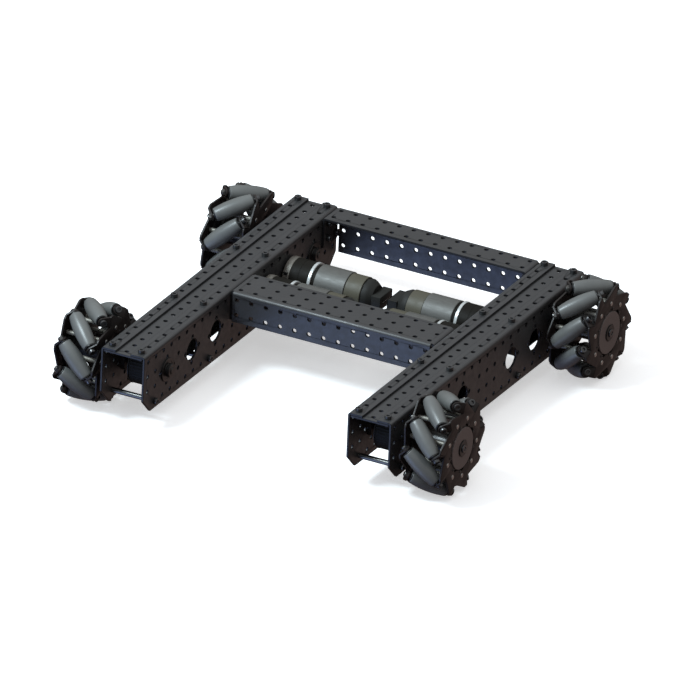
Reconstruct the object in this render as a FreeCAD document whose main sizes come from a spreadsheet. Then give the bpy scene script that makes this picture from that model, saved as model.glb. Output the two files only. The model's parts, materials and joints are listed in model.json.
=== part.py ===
import FreeCAD, Part
import math
import os

import Sketcher

# Four wheel robot chassis with roller (mecanum) wheels.
# Millimetres.  X runs across the chassis, Y runs along the rails towards the rear,
# Z is up.  The origin is on the floor under the middle of the chassis.

DIMENSIONS = {
    "rail_length": 400.0,
    "rail_centre": 136.0,
    "rail_width": 48.0,
    "rail_bottom": 18.0,
    "side_height": 64.0,
    "flange_width": 16.0,
    "sheet_gauge": 2.3,
    "bend_radius": 3.0,
    "corner_cut": 16.0,
    "hole_pitch": 16.0,
    "hole_radius": 2.1,
    "bearing_radius": 11.0,
    "bolt_circle": 14.0,
    "centre_plate_width": 42.0,
    "channel_width": 48.0,
    "channel_drop": 32.0,
    "rear_width": 32.0,
    "rear_drop": 48.0,
    "tab_margin": 3.0,
    "axle_height": 50.0,
    "axle_offset": 152.0,
    "front_motor_offset": 50.5,
    "rear_motor_offset": 99.5,
    "axle_radius": 3.95,
    "motor_radius": 18.5,
    "motor_shaft_radius": 3.0,
    "running_gap": 0.05,
    "wheel_radius": 50.0,
    "wheel_centre": 191.5,
    "roller_count": 9.0,
    "roller_radius": 8.5,
    "roller_length": 42.0,
    "roller_bore": 2.05,
    "roller_pin_radius": 2.0,
    "cage_gap": 41.0,
    "cage_gauge": 2.0,
    "ear_radius": 4.8,
    "ear_station": 23.0,
    "post_circle": 30.2,
    "post_radius": 2.4,
    "pulley_radius": 18.5,
    "pulley_flange": 21.0,
    "pulley_width": 18.0,
    "belt_inner_radius": 18.9,
    "belt_outer_radius": 20.6,
    "belt_width": 15.0,
    "standoff_radius": 2.75,
    "screw_radius": 1.95,
    "screw_head_radius": 3.5,
    "screw_head_height": 4.0,
    "nut_radius": 3.85,
    "nut_height": 3.0,
}

X = FreeCAD.Vector(1, 0, 0)
Y = FreeCAD.Vector(0, 1, 0)
Z = FreeCAD.Vector(0, 0, 1)
ORIGIN = FreeCAD.Vector(0, 0, 0)
HALF_TURN = FreeCAD.Rotation(Z, 180)
NO_TURN = FreeCAD.Rotation()

doc = FreeCAD.newDocument("RobotChassis")
subparts = []


# ---------------------------------------------------------------- driving sheet

def make_sheet():
    sheet = doc.addObject("Spreadsheet::Sheet", "Dimensions")
    for row, (alias, value) in enumerate(DIMENSIONS.items(), start=1):
        sheet.set(f"A{row}", alias)
        sheet.set(f"B{row}", str(value))
        sheet.setAlias(f"B{row}", alias)
    doc.recompute()
    return sheet


sheet = make_sheet()


def size(alias):
    return float(sheet.get(alias))


def bind(thing, **sizes):
    """Give each named property a number or an expression of the sheet's cells."""
    for name, value in sizes.items():
        if isinstance(value, str):
            thing.setExpression(name, value)
        else:
            setattr(thing, name, value)


def cell(alias):
    return f"Dimensions.{alias}"


# ---------------------------------------------------------------- small helpers

def place(x=0.0, y=0.0, z=0.0, turn=NO_TURN):
    return FreeCAD.Placement(FreeCAD.Vector(x, y, z), turn)


def handed_in(label, thing):
    """Register an object as a sub-part; its label names its file."""
    thing.Label = label
    subparts.append(thing)
    return thing


def origin_feature(body, role):
    return next(f for f in body.Origin.OriginFeatures if f.Role == role)


def sketch_on(body, name, role, offset=None):
    sketch = body.newObject("Sketcher::SketchObject", name)
    sketch.AttachmentSupport = [(origin_feature(body, role), "")]
    sketch.MapMode = "FlatFace"
    if offset is not None:
        sketch.AttachmentOffset = offset
    return sketch


def outline(sketch, points):
    """Closed outline of straight lines through the points."""
    for start, end in zip(points, points[1:] + points[:1]):
        line = Part.LineSegment(FreeCAD.Vector(*start, 0), FreeCAD.Vector(*end, 0))
        sketch.addGeometry(line, False)


def circles(sketch, centres, alias):
    """Equal circles whose common radius is bound to a cell of the sheet."""
    radius = size(alias)
    for x, y in centres:
        circle = Part.Circle(FreeCAD.Vector(x, y, 0), Z, radius)
        index = sketch.addGeometry(circle, False)
        constraint = sketch.addConstraint(Sketcher.Constraint("Radius", index, radius))
        sketch.setExpression(f"Constraints[{constraint}]", cell(alias))


def pad(body, name, sketch, length, symmetric=True):
    feature = body.newObject("PartDesign::Pad", name)
    feature.Profile = sketch
    feature.SideType = "Symmetric" if symmetric else "One side"
    bind(feature, Length=length)
    return feature


def pocket(body, name, sketch):
    """Cut right through the body, both ways from the sketch."""
    feature = body.newObject("PartDesign::Pocket", name)
    feature.Profile = sketch
    feature.Type = "ThroughAll"
    feature.SideType = "Symmetric"
    return feature


def row_of(body, name, original, axis, length, count):
    pattern = body.newObject("PartDesign::LinearPattern", name)
    pattern.Originals = [original]
    pattern.Direction = (origin_feature(body, axis), [""])
    bind(pattern, Length=length, Occurrences=count)
    body.Tip = pattern
    return pattern


def ring_of(body, name, original, count):
    pattern = body.newObject("PartDesign::PolarPattern", name)
    pattern.Originals = [original]
    pattern.Axis = (origin_feature(body, "X_Axis"), [""])
    bind(pattern, Angle=360, Occurrences=count)
    body.Tip = pattern
    return pattern


def lathe(name, profile):
    """Body turned about its X axis from (station, radius) points."""
    body = doc.addObject("PartDesign::Body", name)
    sketch = sketch_on(body, name + "Profile", "XY_Plane")
    outline(sketch, profile)
    turned = body.newObject("PartDesign::Revolution", name + "Turned")
    turned.Profile = sketch
    turned.ReferenceAxis = (origin_feature(body, "X_Axis"), [""])
    turned.Angle = 360
    return body


def step_profile(steps, bore):
    """Outline of a bored turned part from (start, end, radius) steps."""
    profile = [(steps[0][0], bore)]
    for start, end, radius in steps:
        profile += [(start, radius), (end, radius)]
    return profile + [(steps[-1][1], bore)]


def rod(name, radius, height, placement):
    cylinder = doc.addObject("Part::Cylinder", name)
    bind(cylinder, Radius=radius, Height=height)
    cylinder.Placement = placement
    return cylinder


def along(direction):
    return FreeCAD.Rotation(Z, direction)


def copy_of(master, placement):
    link = doc.addObject("App::Link", master.Name + "Copy")
    link.LinkedObject = master
    link.Placement = placement
    return link


def group(label, pieces):
    """Several separate solids that share one node."""
    compound = doc.addObject("Part::Compound", label)
    compound.Links = pieces
    return handed_in(label, compound)


# ---------------------------------------------------------------- shared places

RAIL_X = size("rail_centre")
HALF_RAIL = size("rail_width") / 2
RAIL_TOP = size("rail_bottom") + size("side_height")
GAUGE = size("sheet_gauge")
PITCH = size("hole_pitch")
HALF_LENGTH = size("rail_length") / 2
INNER_FACE = RAIL_X - HALF_RAIL
OUTER_FACE = RAIL_X + HALF_RAIL
AXLE_Z = size("axle_height")
WHEEL_X = size("wheel_centre")

AXLES = {"front": -size("axle_offset"), "rear": size("axle_offset")}
MOTORS = {"front": size("front_motor_offset"), "rear": size("rear_motor_offset")}
SIDES = {"left": -1, "right": 1}

FULL_ROW = "Dimensions.rail_length / Dimensions.hole_pitch"
END_HOLE = HALF_LENGTH - PITCH / 2
TOP_HOLE = size("side_height") - PITCH / 2
BOTTOM_HOLE = PITCH / 2
SCREW_ROWS = [-12 * PITCH, -4 * PITCH, 4 * PITCH, 12 * PITCH]
STANDOFF_ROWS = [-11 * PITCH, -4 * PITCH, 4 * PITCH, 11 * PITCH]


def bent_profile(width, height):
    """Right-angle sheet section as runs of points: web at x 0, flange at the top, round bend."""
    outer = size("bend_radius")
    inner = outer - GAUGE
    corner = 0.5 * math.sqrt(2)

    def on_bend(radius, dx, dy):
        return (outer + dx * radius, height - outer + dy * radius)

    def bend(radius):
        return [on_bend(radius, -1, 0), on_bend(radius, -corner, corner), on_bend(radius, 0, 1)]

    return [
        [(0, 0), on_bend(outer, -1, 0)],
        bend(outer),
        [on_bend(outer, 0, 1), (width, height)],
        [(width, height), (width, height - GAUGE)],
        [(width, height - GAUGE), on_bend(inner, 0, 1)],
        bend(inner),
        [on_bend(inner, -1, 0), (GAUGE, 0)],
        [(GAUGE, 0), (0, 0)],
    ]


def draw_runs(sketch, runs, side=1, x=0.0, y=0.0):
    """Draw runs of two points as lines and of three as arcs, mirrored by side, then moved."""
    for run in runs:
        points = [FreeCAD.Vector(side * px + x, py + y, 0) for px, py in run]
        curve = Part.LineSegment(*points) if len(points) == 2 else Part.Arc(*points)
        sketch.addGeometry(curve, False)


# ---------------------------------------------------------------- rails

def drive_hole_centres():
    offsets = [size("axle_offset"), size("rear_motor_offset"), size("front_motor_offset")]
    height = AXLE_Z - size("rail_bottom")
    return [(sign * offset, height) for offset in offsets for sign in (-1, 1)]


def four_around(y, z):
    """The four screw places round a motor or axle."""
    radius = size("bolt_circle")
    return [(y + radius, z), (y, z + radius), (y - radius, z), (y, z - radius)]


def bolt_circle_centres():
    return [hole for centre in drive_hole_centres() for hole in four_around(*centre)]


def inner_row_centres():
    """Two part rows: pairs of columns at the ends, three in the middle, two between."""
    columns = [-12, -11, -8, -1, 0, 1, 8, 11, 12]
    heights = [TOP_HOLE - PITCH, TOP_HOLE - 2 * PITCH]
    return [(column * PITCH, height) for column in columns for height in heights]


def cut_corners(body, base):
    """Cut the two bottom corners of a side plate off at 45 degrees."""
    doc.recompute()
    names = []
    for index, edge in enumerate(base.Shape.Edges, start=1):
        middle = edge.BoundBox.Center
        if abs(abs(middle.y) - HALF_LENGTH) < 1e-6 and abs(middle.z) < 1e-6:
            names.append(f"Edge{index}")
    chamfer = body.newObject("PartDesign::Chamfer", "CornerCut")
    chamfer.Base = (base, names)
    bind(chamfer, Size=cell("corner_cut"))
    return chamfer


def rail_side_plate(label, placement):
    body = doc.addObject("PartDesign::Body", label)
    section = sketch_on(body, "Section", "XZ_Plane")
    draw_runs(section, bent_profile(size("flange_width"), size("side_height")))
    blank = pad(body, "Blank", section, cell("rail_length"))
    cut_corners(body, blank)

    top = sketch_on(body, "TopHole", "YZ_Plane")
    circles(top, [(-END_HOLE, TOP_HOLE)], "hole_radius")
    top_cut = pocket(body, "TopHoleCut", top)
    row_of(body, "TopRow", top_cut, "Y_Axis", 2 * END_HOLE, FULL_ROW)

    bottom = sketch_on(body, "BottomHole", "YZ_Plane")
    circles(bottom, [(PITCH - END_HOLE, BOTTOM_HOLE)], "hole_radius")
    bottom_cut = pocket(body, "BottomHoleCut", bottom)
    row_of(body, "BottomRow", bottom_cut, "Y_Axis", 2 * (END_HOLE - PITCH), FULL_ROW + " - 2")

    flange = sketch_on(body, "FlangeHole", "XY_Plane")
    circles(flange, [(size("flange_width") / 2, -END_HOLE)], "hole_radius")
    flange_cut = pocket(body, "FlangeHoleCut", flange)
    row_of(body, "FlangeRow", flange_cut, "Y_Axis", 2 * END_HOLE, FULL_ROW)

    inner = sketch_on(body, "PartRows", "YZ_Plane")
    circles(inner, inner_row_centres() + bolt_circle_centres(), "hole_radius")
    pocket(body, "PartRowsCut", inner)

    drive = sketch_on(body, "DriveHoles", "YZ_Plane")
    circles(drive, drive_hole_centres(), "bearing_radius")
    body.Tip = pocket(body, "DriveHolesCut", drive)

    body.Placement = placement
    return handed_in(label, body)


def rail_side_plates():
    """One pressing serves four places: each inner plate is the outer one turned round."""
    for side, sign in SIDES.items():
        bottom = size("rail_bottom")
        outer_turn = NO_TURN if sign < 0 else HALF_TURN
        inner_turn = HALF_TURN if sign < 0 else NO_TURN
        outer_x = sign * OUTER_FACE
        inner_x = sign * INNER_FACE
        rail_side_plate(f"{side}_rail_outer_plate", place(outer_x, 0, bottom, outer_turn))
        rail_side_plate(f"{side}_rail_inner_plate", place(inner_x, 0, bottom, inner_turn))


def rail_top_plates():
    """A flat perforated strip under the two flanges of each rail."""
    plates = []
    for side, sign in SIDES.items():
        body = doc.addObject("PartDesign::Body", f"{side}_top_strip")
        half_width = size("centre_plate_width") / 2
        blank_outline = sketch_on(body, "Blank", "XY_Plane")
        corners = [
            (-half_width, -HALF_LENGTH),
            (half_width, -HALF_LENGTH),
            (half_width, HALF_LENGTH),
            (-half_width, HALF_LENGTH),
        ]
        outline(blank_outline, corners)
        pad(body, "Strip", blank_outline, cell("sheet_gauge"))
        holes = sketch_on(body, "Holes", "XY_Plane")
        circles(holes, [(column * PITCH, -END_HOLE) for column in (-1, 0, 1)], "hole_radius")
        cut = pocket(body, "HolesCut", holes)
        row_of(body, "HoleRows", cut, "Y_Axis", 2 * END_HOLE, FULL_ROW)
        body.Placement = place(sign * RAIL_X, 0, RAIL_TOP - 1.5 * GAUGE)
        plates.append(body)
    group("rail_top_plates", plates)


# ---------------------------------------------------------------- cross members

CROSS_HOLE = INNER_FACE - PITCH / 2
TAB_HEIGHTS = [RAIL_TOP - PITCH / 2, RAIL_TOP - 1.5 * PITCH]
MIDDLE_COLUMNS = [-PITCH, 0, PITCH]
REAR_COLUMNS = [END_HOLE - PITCH, END_HOLE]
CROSS_COUNT = "2 * (Dimensions.rail_centre - Dimensions.rail_width / 2) / Dimensions.hole_pitch"


def end_tab(body, name, sign, low_y, high_y, drop):
    """Tab bent down from one end of a cross member, flat against the rail."""
    section = sketch_on(body, name + "Section", "XZ_Plane", place(0, 0, -(low_y + high_y) / 2))
    runs = bent_profile(size("flange_width"), drop)
    draw_runs(section, runs, -sign, sign * INNER_FACE, RAIL_TOP - drop)
    return pad(body, name, section, high_y - low_y)


def tab_hole_cut(body, columns):
    """Holes through both end tabs."""
    sketch = sketch_on(body, "TabHoles", "YZ_Plane")
    circles(sketch, [(y, z) for y in columns for z in TAB_HEIGHTS], "hole_radius")
    body.Tip = pocket(body, "TabHolesCut", sketch)


def top_grid(body, rows):
    """Rows of holes through a cross member's top sheet."""
    sketch = sketch_on(body, "TopHoles", "XY_Plane")
    circles(sketch, [(-CROSS_HOLE, y) for y in rows], "hole_radius")
    cut = pocket(body, "TopHolesCut", sketch)
    row_of(body, "TopHoleRows", cut, "X_Axis", 2 * CROSS_HOLE, CROSS_COUNT)


def web_grid(body, heights):
    """Rows of holes through a cross member's upright sheet."""
    sketch = sketch_on(body, "WebHoles", "XZ_Plane")
    circles(sketch, [(-CROSS_HOLE, z) for z in heights], "hole_radius")
    cut = pocket(body, "WebHolesCut", sketch)
    row_of(body, "WebHoleRows", cut, "X_Axis", 2 * CROSS_HOLE, CROSS_COUNT)


def cross_section(body, name, web_y, facing, width, drop):
    """Bent sheet that spans the rails: a web at web_y and a top running the way it faces."""
    section = sketch_on(body, name + "Section", "YZ_Plane")
    draw_runs(section, bent_profile(width, drop), facing, web_y, RAIL_TOP - drop)
    span = "2 * Dimensions.rail_centre - Dimensions.rail_width - 2 * Dimensions.bend_radius"
    return pad(body, name, section, span)


# The channel is drawn as two angles whose tops overlap by this much on the middle line.
HALVES_OVERLAP = 1.0


def middle_cross_channel():
    """Inverted channel between the rails, with a bent tab at each end."""
    body = doc.addObject("PartDesign::Body", "middle_cross_channel")
    half = size("channel_width") / 2
    drop = size("channel_drop")
    cross_section(body, "FrontHalf", -half, 1, half + HALVES_OVERLAP, drop)
    cross_section(body, "RearHalf", half, -1, half + HALVES_OVERLAP, drop)
    tab = half - size("tab_margin")
    for name, sign in (("LeftTab", -1), ("RightTab", 1)):
        end_tab(body, name, sign, -tab, tab, drop)
    top_grid(body, MIDDLE_COLUMNS)
    web_grid(body, TAB_HEIGHTS)
    tab_hole_cut(body, MIDDLE_COLUMNS)
    return handed_in("middle_cross_channel", body)


def rear_cross_angle():
    """Deep angle across the rear ends of the rails."""
    body = doc.addObject("PartDesign::Body", "rear_cross_angle")
    width = size("rear_width")
    cross_section(body, "Angle", HALF_LENGTH, -1, width, size("rear_drop"))
    low = HALF_LENGTH - width
    high = HALF_LENGTH - size("tab_margin")
    for name, sign in (("LeftTab", -1), ("RightTab", 1)):
        end_tab(body, name, sign, low, high, size("channel_drop"))
    top_grid(body, REAR_COLUMNS)
    web_grid(body, [*TAB_HEIGHTS, RAIL_TOP - 2.5 * PITCH])
    tab_hole_cut(body, REAR_COLUMNS)
    return handed_in("rear_cross_angle", body)


# ---------------------------------------------------------------- drive

# Steps of the gearmotor from the rail inwards: start, end and radius.
MOTOR_RADIUS = size("motor_radius")
GEARBOX = [
    (0.0, 2.4, MOTOR_RADIUS - 3.0),
    (2.4, 9.2, MOTOR_RADIUS + 0.5),
    (9.2, 29.4, MOTOR_RADIUS),
    (29.4, 32.6, MOTOR_RADIUS + 0.5),
    (32.6, 36.3, MOTOR_RADIUS - 1.3),
]
CAN = [(36.3, 69.0, MOTOR_RADIUS), (69.0, 86.7, MOTOR_RADIUS - 0.9)]
ENCODER = [(86.7, 94.0, MOTOR_RADIUS - 1.7), (94.0, 98.0, MOTOR_RADIUS - 4.0)]
SHAFT_REACH = 16.0
CONNECTOR = (10.0, 26.0, 14.0)


def gearmotor(end, side, sign):
    """Spur gearmotor: gearbox, motor can, and encoder cap with its connector."""
    name = f"{end}_{side}"
    bore = size("motor_shaft_radius") + size("running_gap")
    profile = step_profile(GEARBOX, bore)
    profile[-1] = (GEARBOX[-1][1], 0.0)
    profile += [(SHAFT_REACH, 0.0), (SHAFT_REACH, bore)]
    gearbox = lathe(name + "_gearbox", profile)
    screws = sketch_on(gearbox, "ScrewHoles", "YZ_Plane")
    circles(screws, four_around(0, 0), "screw_radius")
    holes = gearbox.newObject("PartDesign::Pocket", "ScrewHolesCut")
    holes.Profile = screws
    holes.Length = SHAFT_REACH / 2
    holes.Reversed = True
    gearbox.Tip = holes
    can = lathe(name + "_can", step_profile(CAN, 0.0))
    cap = lathe(name + "_cap", step_profile(ENCODER, 0.0))
    block = doc.addObject("Part::Box", name + "_connector")
    depth, width, height = CONNECTOR
    bind(block, Length=depth, Width=width, Height=height)
    block.Placement = place(ENCODER[-1][1], -width / 2, -height / 2)
    turn = NO_TURN if sign < 0 else HALF_TURN
    base = place(sign * INNER_FACE, MOTORS[end], AXLE_Z, turn)
    for piece in (gearbox, can, cap, block):
        piece.Placement = base.multiply(piece.Placement)
    return [gearbox, can, cap, block]


def gearmotors():
    pieces = []
    for end in MOTORS:
        for side, sign in SIDES.items():
            pieces += gearmotor(end, side, sign)
    group("gearmotors", pieces)


PULLEY_RIM = 1.1
SHAFT_PLAY = 0.5
SHAFT_TAIL = 1.5


def pulley_steps():
    half = size("pulley_width") / 2
    flange = size("pulley_flange")
    return [
        (RAIL_X - half, RAIL_X - half + PULLEY_RIM, flange),
        (RAIL_X - half + PULLEY_RIM, RAIL_X + half - PULLEY_RIM, size("pulley_radius")),
        (RAIL_X + half - PULLEY_RIM, RAIL_X + half, flange),
    ]


def motor_pulleys():
    """Output shaft with its belt pulley, one for each gearmotor."""
    for end, motor_y in MOTORS.items():
        for side, sign in SIDES.items():
            name = f"{end}_{side}_motor_pulley"
            turn = HALF_TURN if sign < 0 else NO_TURN
            placement = place(0, motor_y, AXLE_Z, turn)
            start = INNER_FACE - SHAFT_REACH + SHAFT_PLAY
            end_x = RAIL_X + size("pulley_width") / 2 + SHAFT_TAIL
            radius = size("motor_shaft_radius")
            shaft = rod(name + "_shaft", cell("motor_shaft_radius"), end_x - start,
                        placement.multiply(place(start, 0, 0, along(X))))
            pulley = lathe(name + "_wheel", step_profile(pulley_steps(), radius))
            pulley.Placement = placement
            group(name, [shaft, pulley])


def belt(name, low_y, high_y, x):
    """Closed belt round two equal pulleys."""
    body = doc.addObject("PartDesign::Body", name)
    sketch = sketch_on(body, "Loop", "YZ_Plane")
    for alias in ("belt_inner_radius", "belt_outer_radius"):
        radius = size(alias)
        low = FreeCAD.Vector(low_y, AXLE_Z, 0)
        high = FreeCAD.Vector(high_y, AXLE_Z, 0)
        up = FreeCAD.Vector(0, radius, 0)
        out = FreeCAD.Vector(radius, 0, 0)
        sketch.addGeometry(Part.Arc(low + up, low - out, low - up), False)
        sketch.addGeometry(Part.LineSegment(low - up, high - up), False)
        sketch.addGeometry(Part.Arc(high - up, high + out, high + up), False)
        sketch.addGeometry(Part.LineSegment(high + up, low + up), False)
    pad(body, "Band", sketch, cell("belt_width"))
    body.Placement = place(x)
    return body


def drive_belts():
    belts = []
    for end, motor_y in MOTORS.items():
        for side, sign in SIDES.items():
            low, high = sorted((AXLES[end], motor_y))
            belts.append(belt(f"{end}_{side}_belt", low, high, sign * RAIL_X))
    group("drive_belts", belts)


BEARING_LENGTH = 7.0
BEARING_FLANGE = (12.2, 1.5)


def axle_bearings():
    """Flanged ball bearing in each face of each rail, flange outside."""
    master = lathe("FlangedBearing", step_profile(
        [(0, BEARING_LENGTH, size("bearing_radius") - size("running_gap")),
         (BEARING_LENGTH, BEARING_LENGTH + BEARING_FLANGE[1], BEARING_FLANGE[0])],
        size("axle_radius") + size("running_gap")))
    pieces = []
    for axle_y in AXLES.values():
        for sign in SIDES.values():
            outer_turn = NO_TURN if sign > 0 else HALF_TURN
            inner_turn = HALF_TURN if sign > 0 else NO_TURN
            outer_x = sign * (OUTER_FACE - BEARING_LENGTH)
            inner_x = sign * (INNER_FACE + BEARING_LENGTH)
            pieces.append(copy_of(master, place(outer_x, axle_y, AXLE_Z, outer_turn)))
            pieces.append(copy_of(master, place(inner_x, axle_y, AXLE_Z, inner_turn)))
    group("axle_bearings", pieces)


# ---------------------------------------------------------------- wheels

# Roller axes cross the wheel axis at 45 degrees.  lean is +1 where a roller's axis
# runs along X and round the wheel the same way, and -1 where it runs the other way.
LEAN = {"front": 1, "rear": -1}
PHASE = {
    ("front", "left"): 11.0,
    ("front", "right"): 33.0,
    ("rear", "left"): 37.0,
    ("rear", "right"): 5.0,
}
STEP_ANGLE = 360.0 / size("roller_count")
ROLLER_CIRCLE = size("wheel_radius") - size("roller_radius")
PIN_OVERHANG = 3.2


def roller_end_radius():
    """Radius at which a barrel roller's end still lies on the wheel's cylinder."""
    reach = size("roller_length") / 2
    return math.sqrt(size("wheel_radius") ** 2 - reach ** 2 / 2) - ROLLER_CIRCLE


def roller_placement(end, side, sign, index):
    """Frame of one roller: X along its axis, Y outwards from the wheel's axle."""
    theta = PHASE[end, side] + index * STEP_ANGLE
    spin = FreeCAD.Rotation(X, theta)
    lean = FreeCAD.Rotation(Y, 45.0 * -LEAN[end])
    centre = FreeCAD.Vector(sign * WHEEL_X, AXLES[end], AXLE_Z)
    out = spin.multVec(Y) * ROLLER_CIRCLE
    return FreeCAD.Placement(centre + out, spin.multiply(lean))


def roller(label, placement):
    """Barrel roller: its arc keeps the whole wheel round."""
    body = doc.addObject("PartDesign::Body", label)
    sketch = sketch_on(body, "HalfSection", "XY_Plane")
    reach = size("roller_length") / 2
    bore = size("roller_bore")
    edge = roller_end_radius()
    left_end = FreeCAD.Vector(-reach, edge, 0)
    right_end = FreeCAD.Vector(reach, edge, 0)
    crown = FreeCAD.Vector(0, size("roller_radius"), 0)
    left_bore = FreeCAD.Vector(-reach, bore, 0)
    right_bore = FreeCAD.Vector(reach, bore, 0)
    sketch.addGeometry(Part.Arc(left_end, crown, right_end), False)
    sketch.addGeometry(Part.LineSegment(right_end, right_bore), False)
    sketch.addGeometry(Part.LineSegment(right_bore, left_bore), False)
    sketch.addGeometry(Part.LineSegment(left_bore, left_end), False)
    turned = body.newObject("PartDesign::Revolution", "Barrel")
    turned.Profile = sketch
    turned.ReferenceAxis = (origin_feature(body, "X_Axis"), [""])
    turned.Angle = 360
    body.Placement = placement
    return handed_in(label, body)


# Star plate outline, in a roller's own directions: outwards from the axle, and
# round the wheel.  The ear leaves the plate along the tooth's leading edge.
TOOTH_LEAD = 10.6
TOOTH_FOOT = 35.5
TOOTH_SHOULDER = 6.0
CAGE_BORE = 22.0
PIN_CUT = 6.0


def star_plate(name, lean):
    """Cage plate for a wheel's outer side, ears bent 45 degrees towards the rollers."""
    body = doc.addObject("PartDesign::Body", name)
    tip = ROLLER_CIRCLE + size("ear_radius")
    tooth = [(TOOTH_FOOT, TOOTH_LEAD), (tip, TOOTH_LEAD), (tip, TOOTH_SHOULDER)]
    points = []
    for index in range(int(size("roller_count"))):
        angle = math.radians(-index * STEP_ANGLE)
        for out, around in tooth:
            y = out * math.cos(angle) - around * math.sin(angle)
            z = out * math.sin(angle) + around * math.cos(angle)
            points.append((y, lean * z))
    inner_face = size("cage_gap") / 2
    outer_face = inner_face + size("cage_gauge")
    flat = sketch_on(body, "Star", "YZ_Plane", place(0, 0, inner_face))
    outline(flat, points)
    pad(body, "Flat", flat, cell("cage_gauge"), symmetric=False)

    tilt = place(0, 0, 0, FreeCAD.Rotation(Y, 45.0 * -lean))
    station = size("ear_station")
    half = size("cage_gauge") / 2
    offset = sketch_frame(tilt).multiply(place(0, 0, station - half))
    ear = sketch_on(body, "EarOutline", "YZ_Plane", offset)
    radius = size("ear_radius")
    root = math.sqrt(2) * outer_face - station - half
    root = lean * root
    upper = FreeCAD.Vector(ROLLER_CIRCLE + radius, 0, 0)
    lower = FreeCAD.Vector(ROLLER_CIRCLE - radius, 0, 0)
    side = FreeCAD.Vector(0, -root, 0)
    nose = FreeCAD.Vector(ROLLER_CIRCLE, math.copysign(radius, root), 0)
    ear.addGeometry(Part.Arc(upper, nose, lower), False)
    ear.addGeometry(Part.LineSegment(lower, lower + side), False)
    ear.addGeometry(Part.LineSegment(lower + side, upper + side), False)
    ear.addGeometry(Part.LineSegment(upper + side, upper), False)
    first = pad(body, "Ear", ear, cell("cage_gauge"), symmetric=False)
    ring_of(body, "Ears", first, cell("roller_count"))

    pin = sketch_on(body, "PinHole", "YZ_Plane", offset)
    circles(pin, [(ROLLER_CIRCLE, 0)], "hole_radius")
    pin_cut = body.newObject("PartDesign::Pocket", "PinHoleCut")
    pin_cut.Profile = pin
    pin_cut.SideType = "Symmetric"
    pin_cut.Length = PIN_CUT
    ring_of(body, "PinHoles", pin_cut, cell("roller_count"))

    bore = sketch_on(body, "Bore", "YZ_Plane")
    bore.addGeometry(Part.Circle(ORIGIN, Z, CAGE_BORE), False)
    body.Tip = pocket(body, "BoreCut", bore)
    return body


def sketch_frame(placement):
    """Turn a placement of the YZ plane into the attached sketch's own directions."""
    base = FreeCAD.Placement(ORIGIN, FreeCAD.Rotation(Y, Z, X, "ZXY"))
    return base.inverse().multiply(placement).multiply(base)


def roller_pin(name, placement):
    """Through bolt that carries one roller, with a head at each end."""
    reach = size("ear_station") + size("cage_gauge") / 2
    shank = size("roller_pin_radius")
    head = size("screw_head_radius")
    tip = reach + PIN_OVERHANG
    profile = [(-tip, 0), (-tip, head), (-reach, head), (-reach, shank),
               (reach, shank), (reach, head), (tip, head), (tip, 0)]
    pin = lathe(name, profile)
    pin.Placement = placement
    return pin


def wheel_cage(end, side, sign, star):
    """Two star plates, the roller pins and the posts between the plates."""
    name = f"{end}_{side}"
    phase = PHASE[end, side]
    centre = FreeCAD.Vector(sign * WHEEL_X, AXLES[end], AXLE_Z)
    outer = FreeCAD.Placement(centre, FreeCAD.Rotation(X, phase))
    turned = FreeCAD.Rotation(X, phase - STEP_ANGLE / 2).multiply(HALF_TURN)
    pieces = [copy_of(star, outer), copy_of(star, FreeCAD.Placement(centre, turned))]
    for index in range(int(size("roller_count"))):
        placement = roller_placement(end, side, sign, index)
        pieces.append(roller_pin(f"{name}_pin_{index + 1}", placement))
        out = FreeCAD.Rotation(X, phase + index * STEP_ANGLE).multVec(Y)
        foot = centre + out * size("post_circle") - X * (size("cage_gap") / 2)
        post = FreeCAD.Placement(foot, along(X))
        pieces.append(rod(f"{name}_post_{index + 1}", cell("post_radius"), cell("cage_gap"), post))
    group(f"{name}_wheel_cage", pieces)


HUB_CORE = 12.0
HUB_FLANGE = (26.0, 1.5)
HUB_DISC = (21.5, 0.6)
HUB_COLLAR = (8.0, 1.0)
HUB_BOLT = (4.2, 1.4)
AXLE_CHAMFER = 1.0
COLLAR_RADIUS = 7.0
COLLAR_LENGTH = 4.0
SIDE_GAP = 0.3
HUB_NOSE = 6.0


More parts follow.
